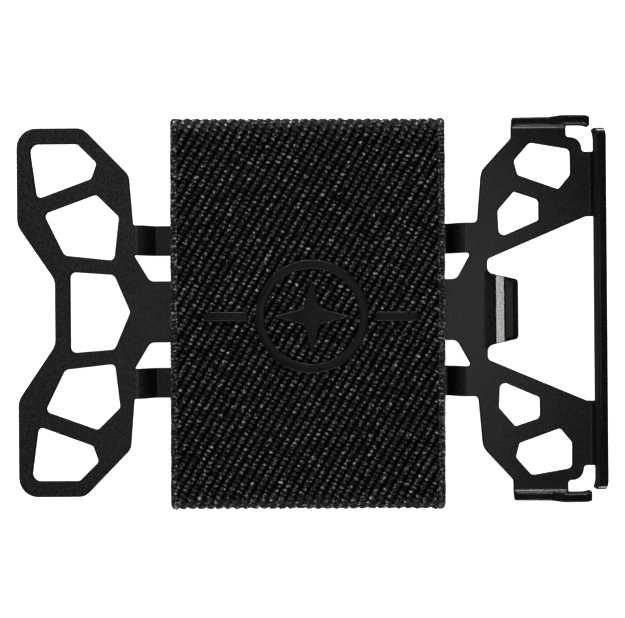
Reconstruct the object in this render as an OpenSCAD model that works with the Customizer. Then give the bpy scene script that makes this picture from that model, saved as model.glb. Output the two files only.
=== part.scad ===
// Minimalist card wallet: one stamped and bent steel sheet, with a woven elastic loop
// threaded over its centre bar and behind it through two joggled rails.
// Frame: +X towards the card stop, +Y across the cards, +Z towards the card side.
// The origin is under the middle of the sheet, on the surface the rails rest on.

/* [Sheet] */
// Thickness of the steel sheet
sheet_t = 1.3; // [1.0:0.1:1.4]
// Inner radius of every bend
bend_r = 0.45; // [0.3:0.05:0.6]
// Largest turn covered by one straight facet of a rounded corner, in degrees
corner_step = 15; // [10:1:30]
// Largest turn covered by one straight facet of a joggle's bend, in degrees
bend_step = 8; // [5:1:15]

/* [Card pocket] */
// Inner face of the end wall, measured from the origin
stop_x = 42.4; // [42.2:0.05:42.8]
// Width between the inner faces of the two corner tabs
pocket_w = 54.45; // [54.3:0.05:54.9]
// Height of the end wall above the sheet
wall_h = 4.7; // [4:0.1:6]
// Height of the corner tabs' tips above the sheet
tab_h = 3.8; // [3.5:0.1:5]
// Height above the sheet where the walls start again over a cut-out
wall_gap = 0.6; // [0.5:0.05:0.8]
// Inner radius of the wall ends that curl round a card's corner
curl_r = 3.2; // [3:0.1:3.4]
// Turn of the end wall's curled ends, in degrees
wall_curl = 28; // [20:1:30]
// Turn of the corner tabs' curled tips, in degrees
tab_curl = 25; // [20:1:28]

/* [Rails] */
// Outer edge of each rail from the centre line
rail_out = 13.0; // [12.8:0.1:13.2]
// Inner edge of each rail from the centre line
rail_in = 8.5; // [8.3:0.1:8.7]
// Half width of the centre bar
bar_half = 4.58; // [4.4:0.02:4.8]
// Depth by which the rails drop below the sheet
rail_drop = 3.0; // [2.9:0.05:3.2]
// Where the left end of the rails starts to drop
rail_left = -25.95; // [-26:0.05:-25.9]
// Where the right end of the rails is back at sheet level
rail_right = 23.65; // [23.6:0.05:23.7]
// Slope of the joggles, in degrees
rail_slope = 61; // [55:1:64]

/* [Opener] */
// Where the opener lip starts to drop
lip_start = 26.05; // [26:0.05:26.2]
// Tip of the opener lip
lip_tip = 31.5; // [31:0.1:32]
// Depth by which the lip drops below the sheet
lip_drop = 1.3; // [1.1:0.05:1.4]
// Slope of the lip's joggle, in degrees
lip_slope = 46; // [40:1:50]
// Left edge of the bare groove across the lip
groove_x = 28.05; // [28:0.05:28.2]
// Width of the groove
groove_w = 1.38; // [1.2:0.02:1.4]
// Depth of the groove
groove_d = 0.35; // [0.2:0.05:0.5]
// Reach of the bevel around the lip's nose
nose_bevel = 0.75; // [0.4:0.05:0.9]

/* [Band] */
// Width of the elastic webbing, along X
band_w = 40.8; // [38:0.1:41]
// Length of the flat loop, along Y
loop_l = 58.8; // [58:0.1:60]
// Thickness of the webbing
band_t = 1.4; // [1.2:0.05:1.4]
// Clear gap between the webbing and the steel
band_gap = 0.15; // [0.12:0.01:0.2]
// Where the loop rests along X
band_x = -0.2; // [-0.4:0.02:0]
// Where the loop rests along Y
band_y = -0.44; // [-0.6:0.02:0]
// Slight skew of the resting loop, in degrees
band_skew = -0.3; // [-0.4:0.05:0.4]
// Depth of the pressed emblem below the webbing's face
emblem_d = 0.3; // [0.2:0.05:0.5]
// Thickness of the pressed film in the emblem
film_t = 0.15; // [0.1:0.05:0.2]
// Number of stitches across the seam
stitches = 28; // [20:1:30]
// Diameter of the seam thread
thread_d = 0.4; // [0.3:0.05:0.45]

/* [Hidden] */

$fn = 96;
bend_out = bend_r + sheet_t;
top_z = sheet_t + rail_drop;
under_z = rail_drop;
wall_z = top_z + wall_h;
tab_z = top_z + tab_h;
cut_z = top_z + wall_gap;
bend_x = stop_x - bend_r;
fold_y = pocket_w / 2 - bend_r;
// Larger than any part of the sheet.
far = 60;

// Sheet corners as [x, y, radius], each list for the half above the centre line.
outline_half = [
    [-37.99, 4.87, 2.4], [-43.57, 13.09, 3.2], [-43.57, 27.57, 2.9], [-33.69, 27.57, 1.9],
    [-26.88, 20.56, 2.0], [-26.29, rail_out, 0.36], [25.25, rail_out, 0.7],
    [25.91, 20.77, 2.5], [30.42, 25.65, 0.7], [30.42, fold_y, 0], [bend_x, fold_y, 0]
];
thumb_windows = [
    [[-41.78, 25.24, 1.2], [-34.6, 25.26, 0.9], [-31.62, 22.3, 0.6], [-32.45, 19.98, 0.5],
     [-40.66, 16.95, 0.8]],
    [[-31.81, 17.65, 0.7], [-28.35, 14.25, 0.7], [-29.1, 7.74, 0.7], [-36.66, 8.57, 1.1],
     [-39.69, 14.79, 0.7]]
];
waist_half = [[-35.76, 6.07, 0.8], [-29.12, 5.57, 0.9]];
waist_nose = [-26.75, 0, 0.6];
slot_half = [[-26.2, rail_in, 0.13], [-23.85, bar_half, 1.2], [22.13, bar_half, 1.2],
             [24.3, rail_in, 0.35]];
opener_windows = [
    [[33.2, 24.95, 0.9], [39.26, 23.9, 0.8], [39.28, 20.08, 0.7], [37.44, 17.86, 0.6],
     [31.31, 20.04, 0.5], [30.74, 22.15, 0.7]],
    [[30.78, 17.61, 0.4], [34.5, 16.37, 0.8], [34.48, 13.3, 0.4], [28.45, 10.69, 0.8],
     [28.27, 14.73, 0.8]]
];
// Half width of the tab that the lip is bent from, at its root.
lip_root = 5.6;
// Bevels around the lip's nose: slope, turn of the side bevels in plan, and their reach.
nose_slope = 35;
nose_turn = 14;
nose_side = 1.1;
nose_corner = 4.47;
mouth_y = 13.8;
mouth_half = [[lip_tip, nose_corner, 0.6], [26.68, 5.54, 0.9], [26.66, 7.5, 0.75],
              [41.55, mouth_y, 1.0], [far, mouth_y, 0]];
notch_y = 23.45;
notch_x = 38.55;
notch_half = [[notch_x, far, 0], [notch_x, 25.65, 0.5], [40.7, 25.65, 1.7],
              [40.95, notch_y, 0.45], [far, notch_y, 0], [far, far, 0]];

// Wall outlines seen square on, as [along, z, radius].
tab_start = 30.42;
tab_end = 41.6;
tab_face = [[tab_start, 0, 0], [tab_start, top_z + 1.0, 0.6], [35.9, top_z + 1.5, 1.5],
            [37.4, tab_z, 1.0], [tab_end, tab_z, 1.0], [tab_end, cut_z, 0.6],
            [notch_x, cut_z, 0.4], [notch_x, 0, 0]];
wall_end = 26.6;
wall_face_half = [[wall_end, wall_z, 1.0], [wall_end, cut_z, 0.6], [notch_y, cut_z, 0.4],
                  [notch_y, 0, 0], [mouth_y, 0, 0], [mouth_y, cut_z, 0.4]];
curl_start_wall = wall_end - curl_r * sin(wall_curl);
// The tab's curl stops this far short of its tip, so that the tip is cut square.
tip_cut = 0.1;
curl_start_tab = tab_end - tip_cut - curl_r * sin(tab_curl);

// Levels of the webbing.
rear_z = sheet_t + band_gap;
front_z = top_z + band_gap;
front_top = front_z + band_t;
fold_r = (front_top - rear_z) / 2;
fold_z = rear_z + fold_r;
span_half = loop_l / 2 - fold_r;
seam_gap = 0.1;

// Emblem: a ring around a four-pointed star, with a bar on each side.
ring_r = 8.4;
ring_t = 1.3;
star_r = 5.6;
star_in = 1.7;
bar_l = 6.2;
bar_t = 1.3;
bar_gap = 1.2;
emblem_x = 0.6;
emblem_y = -0.4;

function unit(v) = v / norm(v);
function xy(p) = [p[0], p[1]];
// Points of the arc that rounds corner b between its neighbours a and c.
function corner_arc(a, b, c) =
    b[2] == 0 ? [xy(b)] :
    let (u = unit(xy(a) - xy(b)),
         v = unit(xy(c) - xy(b)),
         half = acos(u * v) / 2,
         m = xy(b) + unit(u + v) * b[2] / sin(half),
         s = xy(b) + u * b[2] / tan(half) - m,
         e = xy(b) + v * b[2] / tan(half) - m,
         a0 = atan2(s[1], s[0]),
         turn = (atan2(e[1], e[0]) - a0 + 540) % 360 - 180,
         n = max(2, ceil(abs(turn) / corner_step)))
    [for (k = [0:n]) m + b[2] * [cos(a0 + turn * k / n), sin(a0 + turn * k / n)]];
function rounded(p) = let (n = len(p))
    [for (i = [0:n - 1]) each corner_arc(p[(i + n - 1) % n], p[i], p[(i + 1) % n])];
function flipped(p) = [for (i = [len(p) - 1:-1:0]) [p[i][0], -p[i][1], p[i][2]]];
function both_sides(p) = concat(p, flipped(p));
// Same, for an outline given as [y, z, radius] that is mirrored across y = 0.
function both_ends(p) = concat(p, [for (i = [len(p) - 1:-1:0]) [-p[i][0], p[i][1], p[i][2]]]);

// The whole sheet seen from above, before it is cut into regions.
module plan() {
    difference() {
        polygon(rounded(both_sides(outline_half)));
        for (w = concat(thumb_windows, opener_windows, [slot_half, notch_half])) {
            polygon(rounded(w));
            polygon(rounded(flipped(w)));
        }
        polygon(rounded(concat(waist_half, [waist_nose], flipped(waist_half))));
        polygon(rounded(both_sides(mouth_half)));
    }
}

module region(x0, x1, y0, y1) {
    intersection() {
        plan();
        translate([x0, y0]) square([x1 - x0, y1 - y0]);
    }
}

module flat_region(x0, x1, y0, y1) {
    translate([0, 0, under_z]) linear_extrude(sheet_t) region(x0, x1, y0, y1);
}

// Straight run of a joggle between its two bends.
function joggle_run(drop, slope) =
    (drop - (bend_out + bend_r) * (1 - cos(slope))) / sin(slope);
// Length of a joggle along the sheet.
function joggle_len(drop, slope) =
    (bend_out + bend_r) * sin(slope) + joggle_run(drop, slope) * cos(slope);

// Pie slice of a bend: a ring segment about [x, z] from angle a0 through a turn.
module bend_2d(x, z, a0, turn) {
    translate([x, z]) rotate(a0) intersection() {
        difference() {
            circle(bend_out);
            circle(bend_r);
        }
        polygon([[0, 0], 3 * [1, 0], 3 * [cos(turn / 2), sin(turn / 2)],
                 3 * [cos(turn), sin(turn)]]);
    }
}

function arc_points(c, r, a0, a1) =
    let (n = ceil(abs(a1 - a0) / bend_step))
    [for (k = [0:n]) c + r * [cos(a0 + (a1 - a0) * k / n), sin(a0 + (a1 - a0) * k / n)]];
// Upper and lower edges of a sheet that drops by a joggle, from [0, 0] rightwards.
function joggle_top(drop, slope) = concat(
    arc_points([0, -bend_out], bend_out, 90, 90 - slope),
    arc_points([joggle_len(drop, slope), bend_r - drop], bend_r, 270 - slope, 270));
function joggle_under(drop, slope) = concat(
    arc_points([0, -bend_out], bend_r, 90, 90 - slope),
    arc_points([joggle_len(drop, slope), bend_r - drop], bend_out, 270 - slope, 270));
function moved(p, by) = [for (q = p) q + by];
function reversed(p) = [for (i = [len(p) - 1:-1:0]) p[i]];
// Flips a side view left to right about x = 0.
function turned(p) = [for (i = [len(p) - 1:-1:0]) [-p[i][0], p[i][1]]];

// Extrudes a side view drawn in x and z along Y.
module across(y0, y1) {
    translate([0, y1, 0]) rotate([90, 0, 0]) linear_extrude(y1 - y0) children();
}

module rail_side() {
    top = joggle_top(rail_drop, rail_slope);
    under = joggle_under(rail_drop, rail_slope);
    left = [rail_left, top_z];
    right = [rail_right, top_z];
    polygon(concat(moved(top, left), moved(turned(top), right),
                   reversed(concat(moved(under, left), moved(turned(under), right)))));
}

module rail() {
    intersection() {
        across(rail_in, rail_out + 2) rail_side();
        linear_extrude(top_z) region(rail_left, rail_right, rail_in, far);
    }
}

module thumb_end() {
    color("#1c1c1e") flat_region(-far, rail_left, -far, far);
}

module centre_bar() {
    color("#1c1c1e") flat_region(rail_left, rail_right, -rail_in, rail_in);
}

module rail_upper() {
    color("#1c1c1e") rail();
}

module rail_lower() {
    color("#1c1c1e") mirror([0, 1, 0]) rail();
}

module opener_end() {
    color("#1c1c1e") difference() {
        flat_region(rail_right, bend_x, -fold_y, fold_y);
        translate([lip_start, -lip_root, 0]) cube([lip_tip - lip_start, 2 * lip_root, far]);
    }
}

// The opener lip: a tab that drops by one sheet, with a bare groove and a bevelled nose.
module opener_lip() {
    lip_top = top_z - lip_drop;
    start = [lip_start, top_z];
    color("#1c1c1e") difference() {
        intersection() {
            across(-far, far) polygon(concat(
                moved(joggle_top(lip_drop, lip_slope), start),
                [[lip_tip, lip_top], [lip_tip, lip_top - sheet_t]],
                reversed(moved(joggle_under(lip_drop, lip_slope), start))));
            linear_extrude(top_z) region(lip_start, lip_tip, -lip_root, lip_root);
        }
        translate([groove_x, -far, lip_top - groove_d]) cube([groove_w, 2 * far, 1]);
        translate([lip_tip - nose_bevel, 0, lip_top]) rotate([0, nose_slope, 0])
            translate([0, -far, 0]) cube([3, 2 * far, 2]);
        for (side = [0, 1]) mirror([0, side, 0])
            translate([lip_tip - nose_side, nose_corner, lip_top - 0.35])
                rotate([-nose_slope, 0, -nose_turn])
                    translate([-0.6, -0.35, 0]) cube([3, 2, 2]);
    }
}

// Wall with curled ends that stops the cards.
module end_wall() {
    color("#1c1c1e") intersection() {
        union() {
            across(-notch_y, notch_y) bend_2d(bend_x, top_z + bend_r, 270, 90);
            translate([stop_x, -curl_start_wall, top_z + bend_r])
                cube([sheet_t, 2 * curl_start_wall, wall_h]);
            for (side = [0, 1]) mirror([0, side, 0])
                translate([stop_x - curl_r, curl_start_wall, top_z + bend_r])
                    curl(0, wall_curl, wall_h);
        }
        rotate([90, 0, 90]) linear_extrude(far) polygon(rounded(both_ends(wall_face_half)));
    }
}

// Upright ring segment that wraps round a card's corner.
module curl(a0, turn, height) {
    rotate([0, 0, a0]) rotate_extrude(angle = turn) translate([curl_r, 0])
        square([sheet_t, height]);
}

module corner_tab() {
    intersection() {
        union() {
            translate([tab_start, 0, 0]) rotate([90, 0, 90]) linear_extrude(notch_x - tab_start)
                bend_2d(fold_y, top_z + bend_r, 270, 90);
            translate([tab_start, pocket_w / 2, top_z + bend_r])
                cube([curl_start_tab - tab_start, sheet_t, tab_h]);
            translate([curl_start_tab, pocket_w / 2 - curl_r, top_z + bend_r])
                curl(90 - tab_curl, tab_curl, tab_h);
        }
        across(0, far) polygon(rounded(tab_face));
    }
}

module corner_tab_upper() {
    color("#1c1c1e") corner_tab();
}

module corner_tab_lower() {
    color("#1c1c1e") mirror([0, 1, 0]) corner_tab();
}

// Puts the loop where it rests.
module loop_pose() {
    translate([band_x, band_y, 0]) rotate([0, 0, band_skew]) children();
}

module emblem_2d() {
    translate([emblem_x, emblem_y]) {
        difference() {
            circle(ring_r);
            circle(ring_r - ring_t);
        }
        polygon([for (k = [0:7]) (k % 2 == 0 ? star_r : star_in) * [cos(45 * k), sin(45 * k)]]);
        for (side = [-1, 1])
            translate([side * (ring_r + bar_gap + bar_l / 2), 0])
                square([bar_l, bar_t], center = true);
    }
}

module band_front() {
    color("#141416") loop_pose() difference() {
        translate([-band_w / 2, -span_half, front_z]) cube([band_w, 2 * span_half, band_t]);
        translate([0, 0, front_top - emblem_d]) linear_extrude(1) emblem_2d();
    }
}

module emblem_film() {
    color("#0e0e10") loop_pose() translate([0, 0, front_top - emblem_d])
        linear_extrude(film_t) emblem_2d();
}

// One end of the webbing strip, butted against the other at the seam.
module rear_half() {
    translate([-band_w / 2, seam_gap / 2, rear_z])
        cube([band_w, span_half - seam_gap / 2, band_t]);
}

module band_rear_upper() {
    color("#141416") loop_pose() rear_half();
}

module band_rear_lower() {
    color("#141416") loop_pose() mirror([0, 1, 0]) rear_half();
}

module fold() {
    translate([-band_w / 2, span_half, fold_z]) rotate([90, 0, 90]) linear_extrude(band_w)
        difference() {
            circle(fold_r);
            circle(fold_r - band_t);
            translate([-far, -far]) square([far, 2 * far]);
        }
}

module band_fold_upper() {
    color("#141416") loop_pose() fold();
}

module band_fold_lower() {
    color("#141416") loop_pose() mirror([0, 1, 0]) fold();
}

// Slanted stitches that join the two ends of the webbing.
module seam_thread() {
    pitch = (band_w - 2) / (stitches - 1);
    stitch_l = 3.6;
    color("#202022") loop_pose()
        for (k = [0:stitches - 1])
            translate([-band_w / 2 + 1 + k * pitch, 0, rear_z - thread_d / 2])
                rotate([90, 0, 12]) cylinder(h = stitch_l, d = thread_d, center = true, $fn = 16);
}

thumb_end();
centre_bar();
rail_upper();
rail_lower();
opener_end();
opener_lip();
end_wall();
corner_tab_upper();
corner_tab_lower();
band_front();
band_rear_upper();
band_rear_lower();
band_fold_upper();
band_fold_lower();
emblem_film();
seam_thread();
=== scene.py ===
import math

import bmesh
import bpy
import numpy as np
from mathutils import Matrix, Vector

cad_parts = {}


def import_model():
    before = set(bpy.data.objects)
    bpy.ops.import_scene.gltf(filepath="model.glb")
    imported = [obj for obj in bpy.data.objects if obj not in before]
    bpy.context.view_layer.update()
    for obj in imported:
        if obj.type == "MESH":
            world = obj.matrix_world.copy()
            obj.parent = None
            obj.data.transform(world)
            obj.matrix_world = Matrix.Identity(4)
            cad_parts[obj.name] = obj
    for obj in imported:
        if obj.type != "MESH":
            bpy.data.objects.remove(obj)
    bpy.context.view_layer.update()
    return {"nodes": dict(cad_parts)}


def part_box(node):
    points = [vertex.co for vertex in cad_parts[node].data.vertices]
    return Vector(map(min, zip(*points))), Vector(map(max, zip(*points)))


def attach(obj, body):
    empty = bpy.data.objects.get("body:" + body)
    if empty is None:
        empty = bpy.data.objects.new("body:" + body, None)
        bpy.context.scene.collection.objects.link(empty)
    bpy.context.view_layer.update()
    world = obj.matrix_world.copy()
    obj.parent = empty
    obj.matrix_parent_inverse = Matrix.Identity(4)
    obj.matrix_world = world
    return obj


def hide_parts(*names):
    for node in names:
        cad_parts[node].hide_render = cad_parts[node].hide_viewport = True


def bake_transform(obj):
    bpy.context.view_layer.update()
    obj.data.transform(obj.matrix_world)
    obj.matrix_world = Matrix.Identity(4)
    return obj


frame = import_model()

MM = 0.001
nodes = frame["nodes"]


# ---------------------------------------------------------------- shader helpers
class Shader:
    """A material's node tree, built from short calls."""

    def __init__(self, name):
        self.material = bpy.data.materials.new(name)
        self.material.use_nodes = True
        self.tree = self.material.node_tree
        self.bsdf = self.tree.nodes["Principled BSDF"]

    def node(self, kind, inputs=None, **props):
        n = self.tree.nodes.new(kind)
        for key, value in props.items():
            setattr(n, key, value)
        for key, value in (inputs or {}).items():
            if isinstance(value, bpy.types.NodeSocket):
                self.tree.links.new(value, n.inputs[key])
            else:
                n.inputs[key].default_value = value
        return n

    def coords(self):
        return self.node("ShaderNodeTexCoord").outputs["Object"]

    def attribute(self, name):
        return self.node("ShaderNodeAttribute", attribute_name=name)

    def noise(self, vector, scale, detail=2.0, rough=0.5, distortion=0.0):
        return self.node("ShaderNodeTexNoise", {
            "Vector": vector, "Scale": scale, "Detail": detail, "Roughness": rough,
            "Distortion": distortion}).outputs["Fac"]

    def scaled(self, vector, scale):
        return self.node("ShaderNodeMapping", {"Vector": vector, "Scale": scale}).outputs["Vector"]

    def ramp(self, value, low, high, to_low=0.0, to_high=1.0, smooth=True):
        return self.node("ShaderNodeMapRange", {
            "Value": value, "From Min": low, "From Max": high, "To Min": to_low,
            "To Max": to_high}, interpolation_type="SMOOTHSTEP" if smooth else "LINEAR").outputs["Result"]

    def math(self, operation, a, b=0.0):
        return self.node("ShaderNodeMath", {0: a, 1: b}, operation=operation).outputs["Value"]

    def mix(self, factor, a, b):
        return self.node("ShaderNodeMix", {"Factor": factor, "A": a, "B": b}).outputs["Result"]

    def colour(self, factor, a, b):
        return self.node("ShaderNodeMix", {0: factor, 6: a, 7: b}, data_type="RGBA").outputs[2]

    def bump(self, height, distance, strength=1.0, normal=None):
        inputs = {"Height": height, "Distance": distance, "Strength": strength}
        if normal is not None:
            inputs["Normal"] = normal
        return self.node("ShaderNodeBump", inputs).outputs["Normal"]

    def soft_edges(self, radius):
        return self.node("ShaderNodeBevel", {"Radius": radius}, samples=6).outputs["Normal"]

    def set(self, **sockets):
        for key, value in sockets.items():
            name = key.replace("_", " ")
            if isinstance(value, bpy.types.NodeSocket):
                self.tree.links.new(value, self.bsdf.inputs[name])
            else:
                self.bsdf.inputs[name].default_value = value


def grey(v, warm=0.0):
    """Grey of brightness v, tinted towards red by a positive warm and towards blue by a negative one."""
    return (v * (1 + warm), v, v * (1 - warm), 1.0)


def coated_steel(name, base, rough, grain, gloss, edge):
    """Fine matte black oxide coat: a grained film with faint mottling, and paler grains painted in as the
    coat's sparkle.
    """
    s = Shader(name)
    at = s.coords()
    fine = s.noise(at, 6200.0, 1.0, 0.5)
    medium = s.noise(at, 2600.0, 2.0, 0.5)
    broad = s.noise(at, 120.0, 3.0, 0.55)
    tone = s.colour(s.ramp(broad, 0.3, 0.7), grey(base * 0.85, -0.02), grey(base * 1.15, -0.02))
    # Painted highlight: rare paler grains stand in for the coat's sparkle.
    tone = s.colour(s.ramp(fine, 0.44, 0.66), tone, grey(base * 3.4, -0.02))
    s.set(Base_Color=tone,
          Roughness=s.mix(s.ramp(fine, 0.3, 0.7), rough * 0.8, rough * 1.25),
          Normal=s.bump(s.mix(0.3, fine, medium), 0.06 * MM, grain, s.soft_edges(edge * MM)))
    s.bsdf.inputs["Specular IOR Level"].default_value = gloss
    return s.material


def bare_steel():
    """Ground strip: fine scratches along the groove, with ragged coat left at its borders."""
    s = Shader("bare_steel")
    at = s.coords()
    scratches = s.noise(s.scaled(at, (9000.0, 260.0, 900.0)), 1.0, 3.0, 0.6)
    broad = s.noise(at, 900.0, 3.0, 0.6)
    tone = s.colour(s.ramp(scratches, 0.25, 0.75), grey(0.5, 0.03), grey(0.85, 0.03))
    tone = s.colour(s.ramp(broad, 0.62, 0.75), tone, grey(0.12, 0.04))
    s.set(Base_Color=tone, Metallic=1.0,
          Roughness=s.mix(scratches, 0.16, 0.36),
          Normal=s.bump(scratches, 0.01 * MM, 0.5))
    return s.material


def webbing():
    """Black textured polyester yarn: looped filaments in grains, painted glints on bright grains of the
    crowns, and painted shade that darkens the furrows.
    """
    s = Shader("elastic_webbing")
    at = s.attribute("weave").outputs["Vector"]
    crown = s.attribute("crown").outputs["Fac"]
    grain = s.noise(at, 2.9, 1.0, 0.5, 0.4)
    strands = s.noise(s.scaled(at, (5.0, 11.0, 8.0)), 1.0, 2.0, 0.6, 0.6)
    glint = s.noise(s.scaled(at, (2.3, 3.1, 2.0)), 1.0, 2.0, 0.7)
    # Painted shade: the colour falls to near black where the crown attribute says the face is closed to
    # the light, in the furrows, and where the grain noise is low.
    painted_shade = s.math("MULTIPLY", s.ramp(crown, 0.52, 1.0), s.ramp(grain, 0.34, 0.62, 0.12, 1.0))
    tone = s.colour(s.ramp(strands, 0.3, 0.75), grey(0.014, -0.07), grey(0.05, -0.08))
    # Painted highlight: the brightest grains get a pale grey colour that stands in for glints.
    tone = s.colour(s.ramp(grain, 0.56, 0.74), tone, grey(0.34, -0.06))
    tone = s.colour(painted_shade, grey(0.0003), tone)
    s.set(Base_Color=tone,
          Roughness=s.mix(s.ramp(glint, 0.35, 0.65), 0.26, 0.5),
          Normal=s.bump(s.mix(0.35, grain, strands), 0.4 * MM, 1.0))
    s.bsdf.inputs["Specular IOR Level"].default_value = 0.07
    return s.material


def pressed_film():
    """Satin film pressed on the weave, whose ribs show through it."""
    s = Shader("pressed_film")
    at = s.coords()
    ribs = s.node("ShaderNodeTexWave", {
        "Vector": s.scaled(at, (1.0, 0.58, 0.0)), "Scale": 128.0, "Distortion": 1.2,
        "Detail": 2.0, "Detail Scale": 5.0}, bands_direction="X").outputs["Fac"]
    fine = s.noise(at, 2600.0, 2.0, 0.6)
    s.set(Base_Color=s.colour(fine, grey(0.002), grey(0.005)),
          Roughness=s.mix(fine, 0.32, 0.44),
          Normal=s.bump(s.mix(0.3, ribs, fine), 0.05 * MM, 0.5))
    s.bsdf.inputs["Specular IOR Level"].default_value = 0.22
    return s.material


def thread():
    """Black twisted thread."""
    s = Shader("sewing_thread")
    at = s.coords()
    twist = s.node("ShaderNodeTexWave", {
        "Vector": s.scaled(at, (1.0, 0.5, 1.0)), "Scale": 700.0, "Distortion": 0.6},
        bands_direction="X").outputs["Fac"]
    s.set(Base_Color=s.colour(twist, grey(0.008), grey(0.022)), Roughness=0.5,
          Normal=s.bump(twist, 0.05 * MM, 0.8))
    return s.material


# ---------------------------------------------------------------- the bent sheet
SHEET = ["thumb_end", "centre_bar", "rail_upper", "rail_lower", "opener_end", "opener_lip",
         "end_wall", "corner_tab_upper", "corner_tab_lower"]
# Vertices nearer than WELD mm are one, and faces that meet at less than FLAT are one face.
WELD = 2e-3
FLAT = math.radians(0.4)


def linked(name, mesh):
    obj = bpy.data.objects.new(name, mesh)
    bpy.context.scene.collection.objects.link(obj)
    return obj


def evaluated(obj):
    """The object's mesh with its modifiers applied."""
    return bpy.data.meshes.new_from_object(obj.evaluated_get(bpy.context.evaluated_depsgraph_get()))


def welded(name):
    """A CAD node's mesh in millimetres, with its split vertices joined."""
    bm = bmesh.new()
    bm.from_mesh(nodes[name].data)
    bmesh.ops.scale(bm, vec=(1000, 1000, 1000), verts=bm.verts)
    bmesh.ops.remove_doubles(bm, verts=bm.verts, dist=1e-4)
    mesh = bpy.data.meshes.new(name + "_mm")
    bm.to_mesh(mesh)
    bm.free()
    return mesh


def joined_sheet():
    """One continuous bent sheet from the nine CAD regions."""
    sheet = linked("frame_sheet", welded(SHEET[0]))
    for name in SHEET[1:]:
        other = linked("operand", welded(name))
        union = sheet.modifiers.new("union", "BOOLEAN")
        union.operation = "UNION"
        union.solver = "EXACT"
        union.object = other
        sheet.data = evaluated(sheet)
        sheet.modifiers.clear()
        bpy.data.objects.remove(other)
    bm = bmesh.new()
    bm.from_mesh(sheet.data)
    bmesh.ops.remove_doubles(bm, verts=bm.verts, dist=WELD)
    bmesh.ops.dissolve_degenerate(bm, edges=bm.edges, dist=WELD)
    bmesh.ops.dissolve_limit(bm, angle_limit=FLAT, verts=bm.verts, edges=bm.edges)
    bm.to_mesh(sheet.data)
    bm.free()
    return sheet


# In mm: rounding of the cut edges, drop of the lip, and depth of its bare groove.
EDGE = 0.1
LIP_DROP = 1.3
GROOVE = 0.35
# Material slots of the sheet. Slot 0 is the coat on its flats.
CUT_EDGES, GROOVE_FLOOR, WALLS = 1, 2, 3
# Size of a normal's z: a cut edge has less than UPRIGHT, and a level floor more than LEVEL.
UPRIGHT, LEVEL = 0.2, 0.98


def coat_faces(mesh):
    """Gives the walls, the cut edges and the floor of the lip's groove their own materials."""
    lip_low, lip_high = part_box("opener_lip")
    lip_range = (lip_low.x * 1000, lip_high.x * 1000)
    groove_floor = lip_high.z * 1000 - LIP_DROP - GROOVE
    sheet_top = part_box("centre_bar")[1].z * 1000
    for face in mesh.polygons:
        c = face.center
        if c.z > sheet_top + 0.05:
            face.material_index = WALLS
        elif abs(face.normal.z) < UPRIGHT:
            face.material_index = CUT_EDGES
        in_groove = abs(c.z - groove_floor) < 0.03 and lip_range[0] < c.x < lip_range[1]
        if in_groove and face.normal.z > LEVEL:
            face.material_index = GROOVE_FLOOR


def frame_piece():
    """The union with rounded cut edges, its coat, and the bare strip in the lip's groove."""
    sheet = joined_sheet()
    bevel = sheet.modifiers.new("cut_edges", "BEVEL")
    bevel.width = EDGE
    bevel.segments = 3
    bevel.limit_method = "ANGLE"
    bevel.angle_limit = math.radians(32)
    bevel.use_clamp_overlap = False
    bevel.material = CUT_EDGES
    weighted = sheet.modifiers.new("flat_faces_stay_flat", "WEIGHTED_NORMAL")
    weighted.mode = "FACE_AREA"
    weighted.weight = 100
    sheet.data.materials.append(coated_steel("black_coated_steel", 0.006, 0.3, 0.3, 0.38, 0.2))
    # The cut edges and the walls get darker copies of the coat. The cut edges' lower base colour is
    # painted shade. The walls' coat is glossier, and its lower base colour is painted shade.
    sheet.data.materials.append(coated_steel("coat_on_cut_edges_painted_shade", 0.0015, 0.4, 0.3, 0.06, 0.1))
    sheet.data.materials.append(bare_steel())
    sheet.data.materials.append(coated_steel("coat_on_walls_painted_shade", 0.003, 0.13, 0.05, 0.32, 0.5))
    for face in sheet.data.polygons:
        face.use_smooth = True
    mesh = evaluated(sheet)
    sheet.modifiers.clear()
    sheet.data = mesh
    coat_faces(mesh)
    mesh.transform(Matrix.Scale(MM, 4))
    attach(sheet, "frame")
    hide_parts(*SHEET)


frame_piece()

# ---------------------------------------------------------------- the elastic loop
# The loop's path follows the CAD spans and folds, halfway through the webbing, in mm. Its skew
# and its width are the CAD's, since a box doesn't tell them apart.
front_low, front_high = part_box("band_front")
rear_low, rear_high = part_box("band_rear_upper")
SKEW = math.radians(-0.3)
THICK = (front_high.z - front_low.z) * 1000
FRONT_MID = front_high.z * 1000 - THICK / 2
REAR_MID = rear_low.z * 1000 + THICK / 2
FOLD_R = (FRONT_MID - REAR_MID) / 2
FOLD_Z = (FRONT_MID + REAR_MID) / 2
WIDTH = 40.8
BAND_X = (front_low.x + front_high.x) * 500
BAND_Y = (front_low.y + front_high.y) * 500
SPAN = ((front_high.y - front_low.y) * 1000 - WIDTH * math.sin(abs(SKEW))) / math.cos(SKEW) / 2
LOOP = 4 * SPAN + 2 * math.pi * FOLD_R
pose = Matrix.Translation((BAND_X * MM, BAND_Y * MM, 0))
pose = pose @ Matrix.Rotation(SKEW, 4, "Z") @ Matrix.Scale(MM, 4)

# The weave: picks round the loop and ends across it, and the width of each in mm.
PICKS = 206
ENDS = 118
PICK = LOOP / PICKS
END = WIDTH / ENDS
# Mesh rows per pick, columns per end, and columns across the plain inner face.
ROW_STEPS = 4
END_STEPS = 3
INNER_STEPS = 28
# Slope of the picks across the loop, ends in a selvedge, and, in mm, the depth of the relief
# and the width over which a selvedge is rounded.
ROW_TILT = 0.044
EDGE_ENDS = 3
RELIEF = 0.5
SELVEDGE = 0.55

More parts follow.
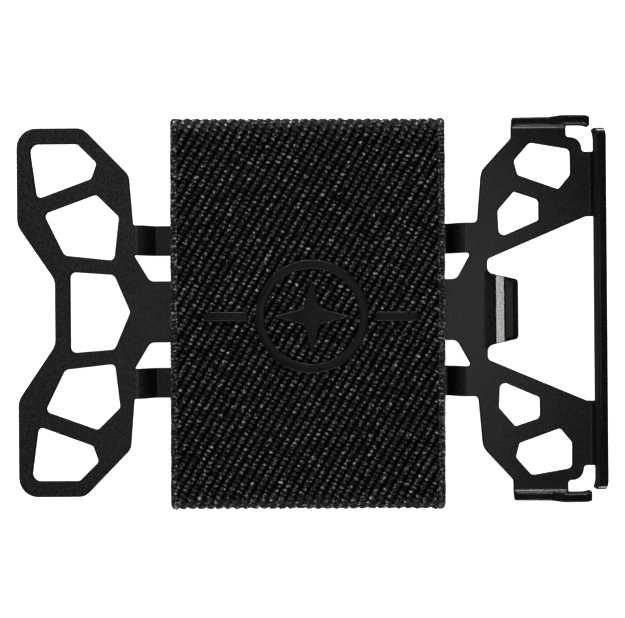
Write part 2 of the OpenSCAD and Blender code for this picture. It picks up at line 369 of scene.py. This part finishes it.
# The pressed emblem, in mm from the middle of the front span: a ring, a star and two bars.
EMBLEM = (0.6, -0.4)
RING_R, RING_T = 8.4, 1.3
STAR_R, STAR_IN = 5.6, 1.7
BAR_L, BAR_T, BAR_GAP = 6.2, 1.3, 1.2
# Depth of the pressed emblem and of the crease at the seam, in mm.
PRESS = 0.38
CREASE = 0.3


def path(t):
    """Point (y, z) and outward direction at distance t along the middle of the loop from the seam."""
    t = np.mod(t, LOOP)
    bend = math.pi * FOLD_R
    marks = [SPAN, SPAN + bend, 3 * SPAN + bend, 3 * SPAN + 2 * bend]
    y, z, ny, nz = (np.zeros_like(t) for _ in range(4))
    rear1 = t < marks[0]
    y[rear1], z[rear1], nz[rear1] = t[rear1], REAR_MID, -1
    up = (t >= marks[0]) & (t < marks[1])
    a = (t[up] - marks[0]) / FOLD_R - math.pi / 2
    ny[up], nz[up] = np.cos(a), np.sin(a)
    y[up], z[up] = SPAN + FOLD_R * ny[up], FOLD_Z + FOLD_R * nz[up]
    front = (t >= marks[1]) & (t < marks[2])
    y[front], z[front], nz[front] = SPAN - (t[front] - marks[1]), FRONT_MID, 1
    down = (t >= marks[2]) & (t < marks[3])
    a = (t[down] - marks[2]) / FOLD_R + math.pi / 2
    ny[down], nz[down] = np.cos(a), np.sin(a)
    y[down], z[down] = -SPAN + FOLD_R * ny[down], FOLD_Z + FOLD_R * nz[down]
    rear2 = t >= marks[3]
    y[rear2], z[rear2], nz[rear2] = -SPAN + (t[rear2] - marks[3]), REAR_MID, -1
    return y, z, ny, nz


def emblem_distance(x, y):
    """Signed distance in mm from a point of the front span to the pressed emblem, negative inside."""
    x, y = x - EMBLEM[0], y - EMBLEM[1]
    r = np.hypot(x, y)
    ring = np.abs(r - (RING_R - RING_T / 2)) - RING_T / 2
    a = np.mod(np.arctan2(y, x), math.pi / 2)
    a = np.minimum(a, math.pi / 2 - a)
    px, py = r * np.cos(a), r * np.sin(a)
    ix, iy = STAR_IN * math.cos(math.pi / 4), STAR_IN * math.sin(math.pi / 4)
    ex, ey = ix - STAR_R, iy
    star = ((px - STAR_R) * ey - py * ex) / math.hypot(ex, ey)
    bx = np.abs(np.abs(x) - (RING_R + BAR_GAP + BAR_L / 2)) - BAR_L / 2
    by = np.abs(y) - BAR_T / 2
    bars = np.maximum(bx, by)
    return np.minimum(np.minimum(ring, star), bars)


def weave_height(q, p, rng):
    """Height from 0 to about 1 of a 3/1 twill, in ribs of short floats, at end q and pick p."""
    pick = np.floor(p).astype(int)
    fv = p - pick
    number = (q + pick) / 4.0
    float_id = np.floor(number).astype(int)
    jitter = rng.normal(0, 1, (3, PICKS + 2, (ENDS + PICKS) // 4 + 4))
    lift, shift, lean = (layer[pick % PICKS, float_id] for layer in jitter)
    u = number - float_id
    c = (u - 0.33 + 0.012 * shift) / 0.36
    v = 2 * fv - 1
    body = np.clip(1 - np.abs(c) ** 2.4, 0, 1) ** 0.5
    crown = np.clip(1 - 0.85 * v ** 2, 0, 1) ** 0.5
    tilt = 1 - (0.16 + 0.04 * lean) * c + 0.1 * v
    height = (0.78 + 0.07 * lift) * body * crown * tilt
    across = np.clip(1 - ((u - 0.86) / 0.12) ** 2, 0, 1)
    return np.maximum(height, 0.2 * across * crown)


def rounding(x):
    """How far the webbing's surface falls at x, in mm, as it rounds into a selvedge."""
    inset = np.clip((np.abs(x) - (WIDTH / 2 - SELVEDGE)) / SELVEDGE, 0, 1)
    return THICK / 2 * (1 - np.sqrt(1 - 0.92 * inset ** 2))


def section():
    """Cross-section of the webbing: x and height of its woven face, then of its plain inner face."""
    outer = np.linspace(-WIDTH / 2, WIDTH / 2, ENDS * END_STEPS + 1)
    inner = np.linspace(WIDTH / 2, -WIDTH / 2, INNER_STEPS)
    x = np.concatenate([np.sign(outer) * np.minimum(np.abs(outer), WIDTH / 2 - 0.001), inner * 0.999])
    h = np.concatenate([THICK / 2 - rounding(outer), -THICK / 2 + rounding(inner)])
    return x, h, len(outer)


def woven_face(x, p, rng):
    """Relief of the outer face at x and pick p, and how open it is to the light, from 0 to 1."""
    q = np.clip((x + WIDTH / 2) / END, 0, ENDS - 1e-6)
    relief = weave_height(q, p, rng)
    side = ENDS / 2 - np.abs(q - ENDS / 2)
    selvedge = np.clip(EDGE_ENDS + 0.5 - side, 0, 1)
    turn = np.sin(np.pi * np.mod(p + 0.18 * side, 1.0))
    border = 0.55 + 0.35 * turn - 0.5 * np.exp(-((side - EDGE_ENDS - 0.4) / 0.5) ** 2)
    relief = relief * (1 - selvedge) + border * selvedge
    return relief + 0.05 * rng.normal(0, 1, relief.shape), np.clip(relief / 0.75, 0, 1)


def face_depth(relief, x, y, t, on_front):
    """Depth of the outer face in mm, 0 or less, from its relief, the pressed emblem and the seam."""
    d = np.where(on_front, emblem_distance(x, y), 9.0)
    pressed = np.clip(0.5 - d / 0.3, 0, 1)
    pressed = pressed * pressed * (3 - 2 * pressed)
    puff = np.exp(-((d - 0.45) / 0.4) ** 2) * on_front
    seam = np.minimum(np.mod(t, LOOP), LOOP - np.mod(t, LOOP))
    crease = np.exp(-(seam / 0.35) ** 2)
    swell = 0.03 * np.sin(x * 0.31 + 1.0) * np.sin(t * 0.23)
    depth = RELIEF * (relief - 1.0) * (1 - 0.75 * pressed)
    depth = depth - 0.04 + swell * 0.5 - PRESS * pressed + 0.03 * puff - CREASE * crease
    return np.minimum(depth, 0.0)


def uneven_sides(x, t):
    """x with the loop's two sides made slightly wavy, and notched at each pick."""
    sway = 0.05 * np.sin(t * 0.9) + 0.04 * np.sin(t * 2.3 + 1.0)
    notches = 0.06 * np.sin(2 * np.pi * (t + ROW_TILT * x) / PICK)
    ragged = np.where(np.abs(x) > WIDTH / 2 - 0.4, notches, 0)
    near_edge = np.clip(np.abs(x) / (WIDTH / 2), 0, 1) ** 8
    return x + np.sign(x) * ragged * 0.5 + np.sign(x) * near_edge * (sway * 0.5 + 0.05)


def closed_grid(name, verts, n_rows, n_sec):
    """Mesh of a grid that closes both ways: round the loop, and round its cross-section."""
    r = np.arange(n_rows)[:, None]
    c = np.arange(n_sec)[None, :]
    a = r * n_sec + c
    b = r * n_sec + (c + 1) % n_sec
    up = ((r + 1) % n_rows) * n_sec
    faces = np.stack([a, up + c, up + (c + 1) % n_sec, b], -1).reshape(-1, 4)
    mesh = bpy.data.meshes.new(name)
    mesh.vertices.add(len(verts))
    mesh.vertices.foreach_set("co", verts.astype(np.float32).ravel())
    mesh.loops.add(faces.size)
    mesh.loops.foreach_set("vertex_index", faces.astype(np.int32).ravel())
    mesh.polygons.add(len(faces))
    mesh.polygons.foreach_set("loop_start", np.arange(0, faces.size, 4, dtype=np.int32))
    mesh.polygons.foreach_set("use_smooth", np.ones(len(faces), bool))
    mesh.update(calc_edges=True)
    return mesh


def band_piece():
    """The loop of elastic webbing, woven in its mesh, with selvedges, seam and pressed emblem."""
    rng = np.random.default_rng(7)
    section_x, section_h, n_out = section()
    n_rows, n_sec = PICKS * ROW_STEPS, len(section_x)
    tau = np.arange(n_rows) * PICK / ROW_STEPS
    X = np.tile(section_x, (n_rows, 1))
    T = tau[:, None] - ROW_TILT * X
    H = np.tile(section_h, (n_rows, 1))
    p = np.tile((tau / PICK)[:, None], (1, n_out)) + 0.5 / ROW_STEPS
    relief, openness = woven_face(X[:, :n_out], p, rng)
    Y, Z, NY, NZ = path(T)
    on_front = NZ[:, :n_out] > 0.99
    H[:, :n_out] += face_depth(relief, X[:, :n_out], Y[:, :n_out], T[:, :n_out], on_front)
    verts = np.stack([uneven_sides(X, T), Y + NY * H, Z + NZ * H], -1).reshape(-1, 3)
    mesh = closed_grid("elastic_loop", verts, n_rows, n_sec)
    coords = np.stack([X, np.tile(tau[:, None], (1, n_sec)), H], -1)
    weave = mesh.attributes.new("weave", "FLOAT_VECTOR", "POINT")
    weave.data.foreach_set("vector", coords.astype(np.float32).ravel())
    # The crown attribute carries how open each point of the woven face is to the light; the webbing
    # paints the closed points dark as painted shade. The plain inner face stays fully open.
    open_up = np.ones(X.shape)
    open_up[:, :n_out] = openness
    crown = mesh.attributes.new("crown", "FLOAT", "POINT")
    crown.data.foreach_set("value", open_up.astype(np.float32).ravel())
    mesh.transform(pose)
    mesh.validate()
    band = linked("elastic_loop", mesh)
    mesh.materials.append(webbing())
    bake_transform(band)
    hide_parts("band_front", "band_rear_upper", "band_rear_lower",
                "band_fold_upper", "band_fold_lower")


band_piece()


# ---------------------------------------------------------------- the pressed emblem
def film_piece():
    """The emblem's film from the CAD, with its rim rounded."""
    film = linked("emblem_pressing", nodes["emblem_film"].data.copy())
    film.data.materials.clear()
    bm = bmesh.new()
    bm.from_mesh(film.data)
    bmesh.ops.remove_doubles(bm, verts=bm.verts, dist=1e-6)
    bmesh.ops.dissolve_limit(bm, angle_limit=FLAT, verts=bm.verts, edges=bm.edges)
    bm.to_mesh(film.data)
    bm.free()
    bevel = film.modifiers.new("rolled_rim", "BEVEL")
    bevel.width = 0.1 * MM
    bevel.segments = 3
    bevel.limit_method = "ANGLE"
    bevel.angle_limit = math.radians(40)
    bevel.use_clamp_overlap = False
    for face in film.data.polygons:
        face.use_smooth = True
    bevel.harden_normals = True
    film.data.materials.append(pressed_film())
    film.data = evaluated(film)
    film.modifiers.clear()
    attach(film, "band_face")
    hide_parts("emblem_film")


film_piece()


# ---------------------------------------------------------------- the seam
# Number of stitches, thickness of their thread, and half the length of one, in mm.
STITCHES = 28
THREAD = 0.4
STITCH_REACH = 1.8


def stitches_piece():
    """Slanted stitches over the butted ends, each dipping into the webbing at both ends."""
    pitch = (WIDTH - 2) / (STITCHES - 1)
    bm = bmesh.new()
    rings, sides = 15, 10
    for k in range(STITCHES):
        cx = -WIDTH / 2 + 1 + k * pitch
        wobble = 0.05 * math.sin(k * 2.4)
        slant = math.radians(12 + 1.5 * math.sin(k * 1.7))
        ring_list = []
        for i in range(rings):
            u = i / (rings - 1) * 2 - 1
            along = u * (STITCH_REACH + wobble)
            dip = 0.42 * abs(u) ** 6
            z = rear_low.z * 1000 - 0.08 + dip
            centre = Vector((cx - along * math.sin(slant), along * math.cos(slant), z))
            ahead = Vector((-math.sin(slant), math.cos(slant), 0)).normalized()
            sideways = ahead.cross(Vector((0, 0, 1)))
            twist = 1 + 0.08 * math.cos(i * 2.1 + k)
            ring_list.append([bm.verts.new(centre + THREAD / 2 * twist * (
                sideways * math.cos(a) * 1.1 + Vector((0, 0, 1)) * math.sin(a) * 0.8))
                for a in (2 * math.pi * s / sides for s in range(sides))])
        for one, two in zip(ring_list, ring_list[1:]):
            for s in range(sides):
                bm.faces.new((one[s], one[(s + 1) % sides], two[(s + 1) % sides], two[s]))
        bm.faces.new(ring_list[0])
        bm.faces.new(reversed(ring_list[-1]))
    bmesh.ops.recalc_face_normals(bm, faces=bm.faces)
    mesh = bpy.data.meshes.new("seam_stitches")
    bm.to_mesh(mesh)
    bm.free()
    for face in mesh.polygons:
        face.use_smooth = True
    mesh.transform(pose)
    seam = linked("seam_stitches", mesh)
    mesh.materials.append(thread())
    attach(seam, "band")
    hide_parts("seam_thread")


stitches_piece()


# ---------------------------------------------------------------- stage
def floor_piece():
    """White ground that glows evenly, and that the wallet doesn't reflect."""
    bpy.ops.mesh.primitive_plane_add(size=6.0, location=(0, 0, -0.00002))
    floor = bpy.context.object
    floor.name = "floor"
    s = Shader("floor_white")
    s.set(Base_Color=(0.8, 0.8, 0.8, 1.0), Roughness=0.9)
    floor.visible_glossy = False
    s.bsdf.inputs["Specular IOR Level"].default_value = 0.0
    s.bsdf.inputs["Emission Color"].default_value = (1, 1, 1, 1)
    s.bsdf.inputs["Emission Strength"].default_value = 1.0
    floor.data.materials.append(s.material)


def world(zenith, horizon):
    """A dim grey room whose strength goes from horizon to zenith."""
    w = bpy.data.worlds.new("studio")
    bpy.context.scene.world = w
    w.use_nodes = True
    tree = w.node_tree
    background = tree.nodes["Background"]
    coord = tree.nodes.new("ShaderNodeTexCoord")
    split = tree.nodes.new("ShaderNodeSeparateXYZ")
    ramp = tree.nodes.new("ShaderNodeMapRange")
    ramp.interpolation_type = "SMOOTHSTEP"
    ramp.inputs["From Min"].default_value = 0.0
    ramp.inputs["From Max"].default_value = 0.75
    ramp.inputs["To Min"].default_value = horizon
    ramp.inputs["To Max"].default_value = zenith
    tree.links.new(coord.outputs["Generated"], split.inputs["Vector"])
    tree.links.new(split.outputs["Z"], ramp.inputs["Value"])
    tree.links.new(ramp.outputs["Result"], background.inputs["Strength"])
    background.inputs["Color"].default_value = (1, 1, 1, 1)


def area_light(name, position, size, power, target=(0, 0, 0.004)):
    """A rectangular light aimed at the wallet."""
    data = bpy.data.lights.new(name, "AREA")
    data.shape = "RECTANGLE"
    data.size, data.size_y = size
    data.energy = power
    light = bpy.data.objects.new(name, data)
    bpy.context.scene.collection.objects.link(light)
    light.location = position
    light.rotation_euler = (Vector(target) - Vector(position)).to_track_quat("-Z", "Y").to_euler()


floor_piece()
world(0.014, 0.03)
area_light("overhead_softbox", (0.02, 0.0, 0.45), (0.08, 0.08), 0.075)
area_light("key_softbox", (-0.3, 0.3, 0.45), (0.16, 0.16), 0.66)
area_light("far_strip", (0.0, 0.5, 0.08), (0.6, 0.1), 8.5)
area_light("near_strip", (0.0, -0.5, 0.08), (0.6, 0.1), 5.8)

# The camera looks straight down, turned slightly to match how the wallet lies in the photo.
camera = bpy.data.objects.new("camera", bpy.data.cameras.new("camera"))
bpy.context.scene.collection.objects.link(camera)
camera.data.sensor_width = 36.0
camera.data.lens = 91.25
camera.data.clip_start = 0.01
camera.location = (0.0005, 0.00025, 0.241)
camera.rotation_euler = (0, 0, -0.0082)
bpy.context.scene.camera = camera
bpy.context.scene.view_settings.view_transform = "Standard"
